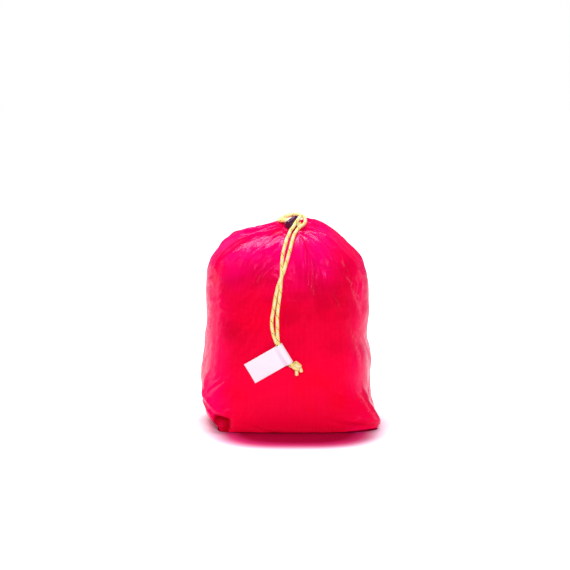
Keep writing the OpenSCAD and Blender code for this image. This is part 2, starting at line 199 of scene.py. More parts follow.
def grid_faces(rows, columns, closed):
    """Faces of a grid of points, row by row, and each face corner's row and column."""
    cells = np.arange(columns if closed else columns - 1)
    i, k = (part.ravel() for part in np.meshgrid(np.arange(rows - 1), cells, indexing="ij"))
    corners = np.stack([np.stack([i, k], 1), np.stack([i, k + 1], 1), np.stack([i + 1, k + 1], 1),
                        np.stack([i + 1, k], 1)], 1)
    return corners[..., 0] * columns + corners[..., 1] % columns, corners


def grid_piece(name, grid, closed, spacing, *rest, **more):
    """A piece from a grid of points, with UVs in metres: spacing is the size of a cell."""
    faces, corners = grid_faces(grid.shape[0], grid.shape[1], closed)
    uvs = corners[..., ::-1] * np.array(spacing)
    return piece(name, grid.reshape(-1, 3), faces, *rest, uvs=uvs.reshape(-1, 2), **more)


def tube(line, radius, sides, relief=None, rounded=.0008):
    """Points, faces and UVs of a tube along a line. UVs are the turn, 0 to 1, and the way along."""
    n = len(line)
    way = unit(np.gradient(line, axis=0))
    side = np.zeros_like(line)
    s = np.array((0, 0, 1.)) if abs(way[0][2]) < .8 else np.array((1., 0, 0))
    for i in range(n):
        s = s - way[i] * (s @ way[i])
        s /= np.linalg.norm(s)
        side[i] = s
    along = way_lengths(line)
    turn = np.arange(sides) / sides
    r = np.full((n, sides), float(radius))
    if relief:
        r += relief(turn[None, :], along[:, None])
    end = np.minimum(along, along[-1] - along) / rounded
    r *= np.sqrt(np.clip(1 - (1 - np.clip(end, 0, 1)) ** 2, .03, 1))[:, None]
    angle = math.tau * turn[None, :, None]
    outwards = np.cos(angle) * side[:, None] + np.sin(angle) * np.cross(way, side)[:, None]
    grid = line[:, None] + r[..., None] * outwards
    faces, corners = grid_faces(n, sides, True)
    uvs = np.stack([corners[..., 1] / sides, along[corners[..., 0]]], -1)
    return grid.reshape(-1, 3), faces, uvs.reshape(-1, 2)


def joined(parts):
    """Several sets of points, faces and UVs as one."""
    points, faces, uvs, first = [], [], [], 0
    for p, f, uv in parts:
        points.append(p)
        faces.append(np.asarray(f) + first)
        uvs.append(uv)
        first += len(p)
    return np.vstack(points), np.vstack(faces), np.vstack(uvs)


# ---- materials ----


class Nodes:
    """A new material, with short calls that each add a node and return its output."""

    def __init__(self, name, **sockets):
        self.material = bpy.data.materials.new(name)
        self.material.use_nodes = True
        self.tree = self.material.node_tree
        self.shader = self.tree.nodes["Principled BSDF"]
        for key, value in sockets.items():
            self.shader.inputs[key.replace("_", " ")].default_value = value

    def add(self, kind, output=0, settings=None, **inputs):
        node = self.tree.nodes.new(kind)
        for key, value in (settings or {}).items():
            setattr(node, key, value)
        for key, value in inputs.items():
            socket = node.inputs[int(key[1:]) if key[1:].isdigit() else key.replace("_", " ")]
            self.put(socket, value)
        return node.outputs[output]

    def put(self, socket, value):
        if isinstance(value, bpy.types.NodeSocket):
            self.tree.links.new(value, socket)
        else:
            socket.default_value = value

    def math(self, what, a, b=0., c=0.):
        return self.add("ShaderNodeMath", settings={"operation": what}, i0=a, i1=b, i2=c)

    def plus(self, a, b):
        return self.math("ADD", a, b)

    def minus(self, a, b):
        return self.math("SUBTRACT", a, b)

    def times(self, a, b):
        return self.math("MULTIPLY", a, b)

    def cloth_place(self):
        return self.add("ShaderNodeUVMap", settings={"uv_map": "cloth"})

    def spot(self):
        return self.add("ShaderNodeTexCoord", 3)

    def noise(self, where, scale, detail=2., rough=.5):
        return self.add("ShaderNodeTexNoise", Vector=where, Scale=scale, Detail=detail, Roughness=rough)

    def ramp(self, value, low, high, to_low=0., to_high=1.):
        return self.add("ShaderNodeMapRange", settings={"interpolation_type": "SMOOTHSTEP"},
                        Value=value, From_Min=low, From_Max=high, To_Min=to_low, To_Max=to_high)

    def mix(self, factor, a, b):
        node = self.tree.nodes.new("ShaderNodeMix")
        node.data_type = "RGBA"
        for socket, value in zip((node.inputs[0], node.inputs[6], node.inputs[7]), (factor, a, b)):
            self.put(socket, value)
        return node.outputs[2]

    def scaled(self, where, factors):
        return self.add("ShaderNodeVectorMath", settings={"operation": "MULTIPLY"}, i0=where,
                        i1=factors)

    def split(self, vector):
        node = self.tree.nodes.new("ShaderNodeSeparateXYZ")
        self.tree.links.new(vector, node.inputs[0])
        return node.outputs

    def bump(self, height, strength, distance, under=None):
        more = {"Normal": under} if under else {}
        return self.add("ShaderNodeBump", Height=height, Strength=strength, Distance=distance, **more)

    def done(self, **links):
        for key, value in links.items():
            self.put(self.shader.inputs[key.replace("_", " ")], value)
        return self.material


def rgb(r, g, b):
    """A display colour, 0 to 255, as the linear colour that a shader takes."""
    shares = [c / 255 for c in (r, g, b)]
    return tuple(c / 12.92 if c < .0404 else ((c + .055) / 1.055) ** 2.4 for c in shares) + (1,)


def woven(n, place, pitch):
    """Height of a plain weave of that pitch, from UVs in metres."""
    u, v, _ = n.split(place)
    across = n.math("SINE", n.times(u, math.tau / pitch))
    along = n.math("SINE", n.times(v, math.tau / pitch))
    return n.times(across, along)


def grid_lines(n, place, pitch, width):
    """1 on the thicker yarns of a ripstop grid and 0 between them."""
    u, v, _ = n.split(place)
    lines = []
    for axis in (u, v):
        off = n.math("ABSOLUTE", n.minus(n.math("FRACT", n.math("DIVIDE", axis, pitch)), .5))
        lines.append(n.ramp(off, 0., width / pitch, 1., 0.))
    return n.math("MAXIMUM", lines[0], lines[1])


def red_cloth():
    """Coated ripstop nylon: red, with a pinker painted highlight over its top and painted sheen at its
    sides, darker over what is packed.
    """
    n = Nodes("red_cloth", Sheen_Weight=.04, Sheen_Roughness=.3, Sheen_Tint=rgb(255, 90, 160),
              Specular_IOR_Level=.26, Specular_Tint=rgb(255, 76, 156))
    cloth = n.cloth_place()
    spot = n.spot()
    x, y, z = n.split(spot)
    soft = n.noise(spot, 26., 3.)
    height = n.plus(z, n.times(n.minus(soft, .5), .05))
    # the upper part is painted pinker as a painted highlight, and the sides are painted pinker as a
    # painted sheen
    upper = n.times(n.ramp(height, .112, .165), n.ramp(x, .024, .050, 1., .35))
    side = n.ramp(n.math("ABSOLUTE", x), .045, .076, 0., .65)
    painted_sheen = n.math("MAXIMUM", upper, side)
    colour = n.mix(painted_sheen, rgb(255, 0, 56), rgb(255, 0, 112))
    packed = n.noise(n.scaled(spot, (1., 1., 1.35)), 30., 2.5, .5)
    middle = n.times(n.ramp(height, .052, .09), n.ramp(height, .168, .135))
    middle = n.times(middle, n.ramp(n.math("ABSOLUTE", x), .070, .052))
    dark = n.times(n.ramp(packed, .38, .66, .45, 1.), middle)
    colour = n.mix(n.times(dark, .75), colour, rgb(206, 0, 40))
    warm = n.times(n.ramp(n.noise(spot, 19., 2., .5), .54, .7), n.minus(1., dark))
    colour = n.mix(n.times(warm, .55), colour, rgb(255, 0, 30))
    yarns = grid_lines(n, cloth, .005, .00035)
    colour = n.mix(n.times(yarns, .06), colour, rgb(255, 60, 120))
    # the pocket at the base's left corner lies in the shadow of the fold above it
    roof = n.minus(.0158, n.times(.26, n.plus(x, .067)))
    pocket = n.times(n.ramp(n.minus(z, roof), .0004, -.0006),
                     n.times(n.ramp(x, -.0695, -.0675), n.ramp(x, -.0548, -.0556)))
    deep = n.math("MAXIMUM", n.ramp(z, .002, .012, .3, 1.), n.ramp(x, -.0655, -.0575, .3, 1.))
    pocket = n.times(pocket, n.times(n.ramp(y, -.01, -.03), deep))
    colour = n.mix(n.times(pocket, .85), colour, rgb(176, 0, 10))
    streaks = n.noise(n.scaled(cloth, (420., 60., 1.)), 1., 3., .6)
    crease = n.noise(n.scaled(cloth, (150., 90., 1.)), 1., 4., .65)
    fine = n.bump(woven(n, cloth, .0009), .12, .00004)
    fine = n.bump(yarns, .35, .00006, fine)
    fine = n.bump(n.times(streaks, n.ramp(z, .13, .175, .15, 1.)), .5, .0009, fine)
    fine = n.bump(crease, .35, .0011, fine)
    # crisp crinkles, in patches
    patchy = n.noise(n.scaled(cloth, (95., 62., 1.)), 1., 1.5, .4)
    off_middle = n.times(n.minus(patchy, .5), 9.)
    ridge = n.minus(1., n.math("ABSOLUTE", off_middle))
    patch = n.ramp(n.noise(spot, 34., 1.), .42, .6, 0., 1.)
    crinkle = n.times(n.math("MAXIMUM", ridge, 0.), patch)
    crinkle = n.times(crinkle, n.ramp(z, .176, .160, .2, 1.))
    fine = n.bump(n.times(crinkle, n.ramp(z, .05, .13, .35, 1.)), .4, .0008, fine)
    rough = n.ramp(n.noise(spot, 60., 3.), .3, .7, .17, .28)
    return n.done(Base_Color=colour, Roughness=rough, Normal=fine)


def sewing_thread(name, colour):
    n = Nodes(name, Roughness=.5, Specular_IOR_Level=.3)
    along = n.cloth_place()
    u, v, _ = n.split(along)
    twist = n.math("SINE", n.plus(n.times(u, 2 * math.tau), n.times(v, 9000.)))
    # the colour darkens along the twist's grooves: painted shade
    shade = n.mix(n.ramp(twist, -1., 1.), tuple(c * .9 for c in colour[:3]) + (1,), colour)
    return n.done(Base_Color=shade, Normal=n.bump(twist, .6, .00006))


# yarns each way round the cord, how far along it they take for one turn, and how far they stand out
BRAID_YARNS, BRAID_PITCH, BRAID_HEIGHT = 8, .0112, .00022


def braided_cord():
    """A tubular braid: yarns run both ways round the cord, and a few of them are dark or white."""
    n = Nodes("cord", Roughness=.62, Sheen_Weight=.35, Sheen_Tint=rgb(255, 245, 190))
    u, v, _ = n.split(n.cloth_place())
    lay = n.math("DIVIDE", v, BRAID_PITCH)
    a = n.times(n.plus(u, lay), float(BRAID_YARNS))
    b = n.times(n.minus(u, lay), float(BRAID_YARNS))
    yarn_a, yarn_b = n.math("FLOOR", a), n.math("FLOOR", b)
    b_over = n.math("FLOORED_MODULO", n.plus(yarn_a, yarn_b), 2.)
    a_over = n.minus(1., b_over)

    def is_yarn(yarn, which, over):
        turned = n.math("FLOORED_MODULO", yarn, float(BRAID_YARNS))
        return n.times(n.math("COMPARE", turned, float(which), .25), over)

    def round_top(place):
        return n.math("SINE", n.times(n.math("FRACT", place), math.pi))

    fibre = n.noise(n.spot(), 900., 3.)
    colour = n.mix(fibre, rgb(255, 238, 92), rgb(255, 255, 204))
    edge = n.plus(n.times(round_top(a), a_over), n.times(round_top(b), b_over))
    # where the yarns meet they are painted a deeper orange: painted shade between the yarns
    colour = n.mix(n.ramp(edge, .15, .75), rgb(255, 204, 44), colour)
    dark = is_yarn(yarn_a, 1, a_over)
    white = n.plus(is_yarn(yarn_a, 5, a_over), is_yarn(yarn_b, 0, b_over))
    colour = n.mix(white, colour, rgb(252, 250, 240))
    colour = n.mix(dark, colour, rgb(84, 62, 74))
    height = n.plus(edge, n.times(fibre, .25))
    return n.done(Base_Color=colour, Normal=n.bump(height, .45, .0002))


def braid_relief(turn, along):
    """How far the braid's yarns stand out of the cord, at a turn and a way along it."""
    lay = along / BRAID_PITCH
    a, b = (turn + lay) * BRAID_YARNS, (turn - lay) * BRAID_YARNS
    over = (np.floor(a) + np.floor(b)) % 2
    top = np.where(over == 0, np.sin(np.pi * (a % 1)), np.sin(np.pi * (b % 1)))
    return BRAID_HEIGHT * (top - .6)


def label_cloth():
    n = Nodes("label_cloth", Roughness=.42, Sheen_Weight=.3, Specular_IOR_Level=.4)
    cloth = n.cloth_place()
    tone = n.noise(n.scaled(cloth, (90., 90., 1.)), 1., 2.)
    colour = n.mix(tone, rgb(255, 250, 255), rgb(250, 240, 254))
    yarn = woven(n, cloth, .0005)
    colour = n.mix(n.ramp(yarn, -1., 1., .0, .12), colour, rgb(214, 196, 230))
    height = n.bump(yarn, .35, .00004)
    return n.done(Base_Color=colour, Normal=n.bump(tone, .3, .0003, height))


def lock_plastic():
    n = Nodes("lock_plastic", Specular_IOR_Level=.8, Specular_Tint=rgb(250, 200, 250))
    spot = n.spot()
    grain = n.noise(spot, 2600., 2.)
    worn = n.ramp(n.noise(spot, 420., 4., .65), .55, .75)
    colour = n.mix(worn, rgb(44, 22, 48), rgb(84, 56, 90))
    rough = n.ramp(worn, 0., 1., .2, .32)
    return n.done(Base_Color=colour, Roughness=rough, Normal=n.bump(grain, .25, .00004))


def spring_steel():
    n = Nodes("spring_steel", Metallic=1.)
    drawn = n.noise(n.scaled(n.spot(), (1., 1., 6.)), 1800., 3.)
    return n.done(Base_Color=n.mix(drawn, rgb(150, 150, 156), rgb(205, 205, 212)),
                  Roughness=n.ramp(drawn, .3, .7, .22, .4), Normal=n.bump(drawn, .2, .00003))


def packed_cloth():
    n = Nodes("packed_cloth", Roughness=.85, Sheen_Weight=.2, Sheen_Tint=rgb(255, 120, 150))
    cloth = n.cloth_place()
    rib = n.math("SINE", n.times(n.split(cloth)[0], math.tau / .002))
    tone = n.noise(n.spot(), 22., 3.)
    colour = n.mix(n.ramp(tone, .35, .65), rgb(92, 12, 40), rgb(150, 22, 50))
    colour = n.mix(n.ramp(rib, -1., 1., 0., .35), colour, rgb(60, 6, 26))
    return n.done(Base_Color=colour, Normal=n.bump(rib, .6, .0003))


RED, CORD, LABEL_WHITE = red_cloth(), braided_cord(), label_cloth()
RED_THREAD = sewing_thread("thread", rgb(255, 0, 66))
LILAC_THREAD = sewing_thread("label_thread", rgb(206, 186, 232))
LOCK, STEEL, PACKED = lock_plastic(), spring_steel(), packed_cloth()
# a piece's body, material and slot
OF_RED, OF_THREAD = ("sack", RED, "red_cloth"), ("sack", RED_THREAD, "thread")

# ---- the free cords ----


def free_line(lock_part, front_part, sleeve_part):
    lock = placed([(x, y, z + LOCK_LIFT) for x, y, z in lock_part], MOUTH)
    return smooth_line(lock + [Vector(p) for p in front_part] + placed(sleeve_part, LABEL), CORD_STEP)


def cord_tubes(name, lines, stands_for):
    """Braided cord along each line, as one piece."""
    points, faces, uvs = joined([tube(line, CORD_D / 2, 24, braid_relief) for line in lines])
    return piece(name, points, faces, "sack", CORD, "cord", uvs, stands_for)


def knot_line(entry, end, start_angle, along):
    """One strand of the overhand knot: in, once round the others along the knot's axis, and out."""
    turns = [math.radians(start_angle + a) for a in range(0, 361, 30)]
    wrap = [(.0027 * math.cos(a), .0027 * math.sin(a), along + .0011 * (i / 12 - .5))
            for i, a in enumerate(turns)]
    through = [(.0004, along * .25, -.002), (-.0006, -along * .25, .0016)]
    return smooth_line([entry] + placed(wrap, KNOT) + placed(through, KNOT) + [end], CORD_STEP)


inner_line = free_line(INNER_LOCK_ROUTE, INNER_FRONT_ROUTE, INNER_SLEEVE_ROUTE)
outer_line = free_line(OUTER_LOCK_ROUTE, OUTER_FRONT_ROUTE, OUTER_SLEEVE_ROUTE)
cord_inner = cord_tubes("cord_inner_braid", [inner_line], ["cord_inner"])
cord_outer = cord_tubes("cord_outer_braid", [outer_line], ["cord_outer"])
end_lines = [smooth_line(placed(route, LABEL), CORD_STEP) for route in END_ROUTES]
knot = cord_tubes("overhand_knot", [
    knot_line(Vector(inner_line[-2]), Vector(end_lines[0][1]), 150, .0016),
    knot_line(Vector(outer_line[-2]), Vector(end_lines[1][1]), 150, -.0014)], ["cord_knot"])
cut_ends = cord_tubes("cut_cord_ends", end_lines, ["cord_ends"])

# The cord inside the channel: from the lock, round the mouth, and back to the lock
loop_turns = [math.radians(45 + 15 * i) for i in range(19)]
loop_arc = [(GATHER_R * math.sin(a), -GATHER_R * math.cos(a), 0) for a in loop_turns]
loop_back = [(-x, y, z) for x, y, z in reversed(EXIT_ROUTE)]
loop_line = smooth_line(placed(EXIT_ROUTE + loop_arc + loop_back, MOUTH), CORD_STEP)
cord_tubes("channel_cord_braid", [loop_line], ["drawcord_loop"])

# ---- the sack's cloth ----

# the grid of the cloth, and the lengths of cloth round the sack and from its base to its mouth
ROWS, COLUMNS = 120, 240
AROUND, UPWARDS = .45, .215
HEART = Vector((.001, -.001, .095))
BELT_RAYS = 361
rng = np.random.default_rng(11)


def tree_of(node):
    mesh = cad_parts[node].data
    faces = [list(f.vertices) for f in mesh.polygons]
    return BVHTree.FromPolygons([v.co.copy() for v in mesh.vertices], faces)


def skin_of(node, rows, columns, low, mouth_radius):
    """Grid of points on a CAD node's outer face: rows from the floor to the mouth, columns round it."""
    tree = tree_of(node)
    axis = (MOUTH_AT - HEART).normalized()
    across = (Vector((1, 0, 0)) - axis * axis.x).normalized()
    back = axis.cross(across)

    def hit(around, down):
        level = math.cos(around) * across + math.sin(around) * back
        out = math.cos(down) * axis + math.sin(down) * level
        found = tree.ray_cast(HEART + out * .4, -out, .4)[0]
        return np.array(found) if found else None

    full_turn = np.linspace(0, math.tau, BELT_RAYS)
    belt = [hit(a, math.pi / 2) for a in full_turn]
    far = way_lengths(belt)
    arounds = np.interp(np.arange(columns) / columns * far[-1], far, full_turn)
    first = math.asin(mouth_radius / (MOUTH_AT - HEART).length)
    grid = np.zeros((rows + 1, columns, 3))
    for k, around in enumerate(arounds):
        line = []
        for down in np.arange(first, 2.7, .014):
            p = hit(around, down)
            if p is None or p[2] < low:
                break
            line.append(p)
        line.append(np.array([line[-1][0], line[-1][1], low]))
        line = np.array(line[::-1])
        far = way_lengths(line)
        for axis_no in range(3):
            grid[:, k, axis_no] = np.interp(np.linspace(0, far[-1], rows + 1), far, line[:, axis_no])
    # smoothed in and out in turn, so that it loses the CAD's facets and not its size
    for share in (.5, -.52) * 24:
        inner = (np.roll(grid, 1, 1) + np.roll(grid, -1, 1)) / 2
        inner[1:-1] = (inner[1:-1] + (grid[:-2] + grid[2:]) / 2) / 2
        grid[1:] += share * (inner[1:] - grid[1:])
        grid[0, :, :2] += share * (inner[0, :, :2] - grid[0, :, :2])
    return grid


def grid_normals(grid):
    around = np.roll(grid, -1, 1) - np.roll(grid, 1, 1)
    up = np.gradient(grid, axis=0)
    return unit(np.cross(around, up))


def pleats(around, count, seed):
    """A wave round the mouth with uneven pleats, from -1 to 1, with sharp crests."""
    wobble = np.random.default_rng(seed).uniform(0, math.tau, 4)
    bent = around + .10 * np.sin(2 * around + wobble[0]) + .06 * np.sin(5 * around + wobble[1])
    size = .75 + .25 * np.sin(3 * around + wobble[2]) * np.sin(7 * around + wobble[3])
    return size * (2 * (1 - np.abs(np.sin(count * bent / 2))) ** 1.3 - .7)


def creased(grid):
    """The cloth with its pleats, creases, bulges and crumples, before it settles."""
    normal = grid_normals(grid)
    at_mouth = carried(grid, MOUTH.inverted())
    far = np.hypot(at_mouth[..., 0], at_mouth[..., 1])
    around = np.arctan2(at_mouth[..., 1], at_mouth[..., 0])
    off = np.zeros(far.shape)
    off += .0013 * pleats(around, 26, 1) * step_up(far, .034, .016)
    off += .0017 * pleats(around + .07, 14, 2) * step_up(far, .062, .026) * step_up(far, .010, .017)
    off += .0020 * pleats(around - .04, 8, 3) * step_up(far, .095, .05) * step_up(far, .016, .04)
    x, y, z = (grid[..., i] for i in range(3))
    belt = np.arange(COLUMNS)[None, :] / COLUMNS * math.tau
    # single creases that start at the shoulder and run up to the mouth
    for _ in range(44):
        at, bend = rng.uniform(0, math.tau), rng.uniform(-.12, .12)
        low, high = rng.uniform(.102, .15), rng.uniform(.165, .182)
        width, tall = rng.uniform(.0016, .0034), rng.uniform(.0006, .0021)
        round_at = at + bend * (z - .14) / .04
        gap = np.angle(np.exp(1j * (belt - round_at))) * np.maximum(far, .01)
        within = step_up(z, low, low + .022) * step_up(z, high + .012, high)
        off += tall * bump_at(gap, 0, width) * within
    # long soft folds down the sides, where the cloth hangs loose
    for at, bend, low, high, width, tall in (
            (.12, .10, .035, .10, .0045, .0026), (-.10, -.16, .012, .085, .004, .0022),
            (3.22, .12, .03, .11, .0045, .0024), (3.05, -.14, .10, .155, .005, .0022),
            (.52, .2, .02, .07, .006, .0012), (2.6, .2, .04, .12, .006, .0014)):
        round_at = at + bend * (z - .06) / .05
        gap = np.angle(np.exp(1j * (belt - round_at))) * .07
        within = step_up(z, low, low + .03) * step_up(z, high, high - .03)
        off += tall * bump_at(gap, 0, width) * within
    # mounds to the right and the left of the mouth, and the hollow beside the right one
    off += .0012 * bump_at(np.hypot(x - .018, y - .006), 0, .015) * step_up(z, .15, .17)
    off += .0030 * bump_at(np.hypot(x + .036, (y - .004) * .6), 0, .026) * step_up(z, .14, .16)
    off -= .0026 * bump_at(np.hypot(x - .043, (y - .004) * .6), 0, .017) * step_up(z, .14, .16)
    # bulges at the sides: which way is out, the level, its half height, where it starts, and how tall
    for outwards, level, half, low, high, tall in (
            (np.abs(x), .130, .026, .055, .070, .0020), (x, .103, .016, .052, .066, .0034),
            (x, .062, .018, .050, .066, .0028), (x, .150, .012, .044, .058, .0030),
            (-x, .040, .018, .050, .066, .0026)):
        off += tall * bump_at(z, level, half) * step_up(outwards, low, high)
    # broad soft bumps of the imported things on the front
    for _ in range(16):
        mx, mz, size = rng.uniform(-.07, .07), rng.uniform(.05, .15), rng.uniform(.014, .028)
        front = step_up(-y, 0, .02)
        off += rng.uniform(-.0016, .0012) * bump_at(np.hypot(x - mx, z - mz), 0, size) * front
    # short crumples that lie over the long ones, on every side
    high = np.linspace(0, 1, grid.shape[0])[:, None] * UPWARDS
    belt_way = np.arange(COLUMNS)[None, :] / COLUMNS * AROUND
    for _ in range(150):
        at, level = rng.uniform(0, AROUND), .195 - .165 * rng.uniform(0, 1) ** 1.5
        lean = rng.normal(.0, .5)
        near_mouth = step_up(level, .12, .16)
        long, width = rng.uniform(.006, .015), rng.uniform(.0016, .0028)
        tall = rng.uniform(.0005, .0013) * (1 + .55 * near_mouth) * rng.choice((1., -.8))
        along_x, up = (belt_way - at + AROUND / 2) % AROUND - AROUND / 2, high - level
        bent = along_x * math.cos(lean) - up * math.sin(lean) + 9. * up * up * rng.uniform(-1, 1)
        length_way = up * math.cos(lean) + along_x * math.sin(lean)
        calm = 1 - .6 * step_up(.10 - level, 0, .04)
        off += calm * tall * bump_at(bent, 0, width) * bump_at(length_way, 0, long)
    return grid + normal * off[..., None]


def corner_folds(grid):
    """Squares the base's front corners, tucks in the left one and makes an ear of the right one."""
    x, y, z = (grid[..., i].copy() for i in range(3))
    # the base's sewn corners stand out of the round sack
    right = step_up(x, .040, .064) * step_up(-y, .020, .046) * step_up(z, .046, .006)
    left = step_up(-x, .040, .062) * step_up(-y, .020, .046) * step_up(z, .05, .012)
    grid[..., 0] += .0105 * right - .0085 * left
    grid[..., 1] -= .0010 * right + .0020 * left
    grid[..., 2] += .0022 * right * step_up(z, .012, 0)
    x, y, z = (grid[..., i].copy() for i in range(3))
    front = step_up(-y, .012, .036)
    # the left corner is drawn in and up, so that it shows a slanting edge
    cut = np.clip(-(x + .0625) * .82 - z * .57, 0, None) * front * step_up(-x, .056, .064)
    grid[..., 0] += .82 * cut
    grid[..., 2] += .57 * cut
    # the pocket beside it has a sharp upper edge and a steep right side
    roof = .0158 - .26 * (x + .067)
    floor_z = -.0005 - .62 * np.clip(x + .0655, -.012, 0)
    pocket = step_up(x, -.0715, -.0655) * step_up(x, -.0535, -.0565) * front
    pocket *= step_up(z, floor_z, floor_z + .004) * step_up(z, roof + .0012, roof - .0028)
    grid[..., 1] += .0095 * pocket
    grid[..., 0] += .0016 * pocket
    # the flap's edge above the pocket, which runs up to the left side
    edge_z = .0198 + .95 * np.clip(-.0665 - x, 0, .014)
    flap = bump_at(z - edge_z, 0, .0021) * step_up(-x, .053, .060) * front
    grid[..., 1] -= .0028 * flap
    grid[..., 0] -= .0016 * flap * step_up(-x, .064, .074)
    under_flap = bump_at(z - edge_z, -.0045, .0026) * step_up(-x, .064, .070) * front
    grid[..., 1] += .0016 * under_flap
    # the ear's ridge, and the hollow below it along the base
    ridge = bump_at(z - .0135 - .45 * (x - .07), 0, .0030) * step_up(x, .052, .072) * front
    ridge_2 = bump_at(z - .026 - 1.3 * (x - .073), 0, .0048) * step_up(x, .060, .073) * front
    hollow = bump_at(z - .0052, 0, .0030) * step_up(x, .042, .062) * front
    grid[..., 1] -= .0018 * ridge + .0014 * ridge_2 - .0026 * hollow
    return grid


# The cloth is simulated ten times too large, a size that Blender's cloth works well at
SIM_SCALE, SIM_FRAMES, SIM_GAP, SIM_HELD_ROWS = 10., 26, .004, 3
# how far the cloth may move, and how much of its broad movement is taken back
SIM_MOST, BROAD_PASSES, BROAD_SHARE = .0045, 60, .85
CLOTH_SETTINGS = {
    "quality": 7, "mass": .12, "air_damping": 6, "use_pressure": True, "uniform_pressure_force": .35,
    "tension_stiffness": 20, "compression_stiffness": 20, "shear_stiffness": 8, "bending_stiffness": .12
}


def sim_object(name, points, faces):
    return mesh_object(name, np.asarray(points) * SIM_SCALE, faces)


def cut_shape(grid):
    """The cloth before it was gathered: a tube wider than the sack's neck, loose at its sides."""
    middle = grid.mean(1, keepdims=True)
    share = np.linspace(0, 1, grid.shape[0])[:, None]
    wider = 1.006 + .03 * step_up(share, .25, .5) + .30 * step_up(share, .58, .92)
    flat = (grid[..., :2] - middle[..., :2]) * wider[..., None]
    long_ways = np.linalg.norm(np.diff(grid, axis=0), axis=2)
    drawn_in = np.linalg.norm(np.diff(flat, axis=0), axis=2)
    rise = np.sqrt(np.maximum(long_ways ** 2 - drawn_in ** 2, (.25 * long_ways) ** 2))
    tall = np.vstack([np.zeros((1, grid.shape[1])), np.cumsum(rise, axis=0)])
    return np.dstack([flat, tall])


def settled(grid):
    """The cloth after a short simulation over what is packed inside and under the cords."""
    faces, _ = grid_faces(grid.shape[0], COLUMNS, True)
    cloth_object = sim_object("settling", grid.reshape(-1, 3), faces)
    cloth_object.shape_key_add(name="Basis")
    cut = cloth_object.shape_key_add(name="cut")
    cut.data.foreach_set("co", (cut_shape(grid) * SIM_SCALE).astype(np.float32).ravel())
    held = cloth_object.vertex_groups.new(name="held")
    all_points = list(range(grid.shape[0] * COLUMNS))
    at_each_end = SIM_HELD_ROWS * COLUMNS
    held.add(all_points[:at_each_end] + all_points[-at_each_end:], 1., "REPLACE")
    inside = smooth_skin - grid_normals(smooth_skin) * .0022
    others = [sim_object("inside", inside.reshape(-1, 3), grid_faces(ROWS + 1, COLUMNS, True)[0])]
    # the cords press on it from behind the lock to the label, and are drawn more coarsely here
    for i, line in enumerate((inner_line, outer_line)):
        points, tube_faces, _ = tube(line[80:-30:4], CORD_D / 2, 8)
        others.append(sim_object(f"over_{i}", points, tube_faces))
    for other in others:
        other.modifiers.new("collision", "COLLISION")
        other.collision.thickness_outer = SIM_GAP
        other.collision.cloth_friction = 12
    maker = cloth_object.modifiers.new("cloth", "CLOTH")
    for key, value in CLOTH_SETTINGS.items():
        setattr(maker.settings, key, value)
    maker.settings.vertex_group_mass = "held"
    maker.settings.rest_shape_key = cut
    maker.settings.effector_weights.gravity = .15
    maker.collision_settings.distance_min = SIM_GAP
    maker.collision_settings.collision_quality = 3
    maker.point_cache.frame_start, maker.point_cache.frame_end = 1, SIM_FRAMES
    for frame_no in range(1, SIM_FRAMES + 1):
        scene.frame_set(frame_no)
    shaped = cloth_object.evaluated_get(bpy.context.evaluated_depsgraph_get())
    out = np.zeros(grid.size, np.float32)
    shaped.data.vertices.foreach_get("co", out)
    scene.frame_set(1)
    for old in [cloth_object] + others:
        bpy.data.objects.remove(old)
    moved = out.reshape(grid.shape).astype(float) / SIM_SCALE - grid
    # the broad shape stays as it was designed, and the folds and wrinkles are kept
    normal = grid_normals(smooth_skin)
    broad = (moved * normal).sum(2)
    for _ in range(BROAD_PASSES):
        broad = .5 * broad + .25 * (np.roll(broad, 1, 1) + np.roll(broad, -1, 1))
        broad[1:-1] = .5 * broad[1:-1] + .25 * (broad[:-2] + broad[2:])
    moved -= normal * broad[..., None] * BROAD_SHARE
    far = np.linalg.norm(moved, axis=2, keepdims=True)
    return grid + moved * np.minimum(1, SIM_MOST / np.maximum(far, 1e-9))


# from a cord's middle to the cloth, the first point of the cords that lies on it, and the cloth's
# height over the floor
CORD_CLEAR, ON_CLOTH_FROM, CLOTH_LOWEST = .0019, 90, .0004


def pressed_in(grid):
    """The cloth where the cords lie on it: pressed in, so that nothing cuts through."""
    normal = grid_normals(smooth_skin)
    for line in (inner_line[ON_CLOTH_FROM::2], outer_line[ON_CLOTH_FROM::2]):
        for i in range(ROWS + 1):
            rows = grid[i]
            near = np.linalg.norm(rows[:, None] - line[None], axis=2)
            j = near.argmin(1)
            gap = near[np.arange(len(rows)), j]
            side = ((line[j] - rows) * normal[i]).sum(1)
            across = np.sqrt(np.maximum(gap ** 2 - side ** 2, 0))
            want = np.sqrt(np.maximum(CORD_CLEAR ** 2 - across ** 2, 0)) - side
            want += .0012 * bump_at(across, 0, .0022)
            push = np.clip(want, 0, .005) * (across < .005) * (gap < .008)
            rows -= normal[i] * push[:, None]
    return grid


smooth_skin = skin_of("body_panel", ROWS, COLUMNS, low=0., mouth_radius=.0123)
cloth = creased(smooth_skin)
cloth = settled(cloth)
cloth = pressed_in(corner_folds(cloth))
cloth[..., 2] = np.maximum(cloth[..., 2], CLOTH_LOWEST)
# the last row is drawn in under the gathered hem
under_hem = MOUTH @ Vector((0, 0, -.0035))
tuck = cloth[-1:] + (np.array(under_hem) - cloth[-1:]) * .22
cloth = np.concatenate([cloth, tuck])
cell = (AROUND / COLUMNS, UPWARDS / ROWS)
sack_cloth = grid_piece("sack_cloth", cloth, True, cell, *OF_RED, stands_for=["body_panel"])
finer = sack_cloth.modifiers.new("finer", "SUBSURF")
finer.levels = finer.render_levels = 1


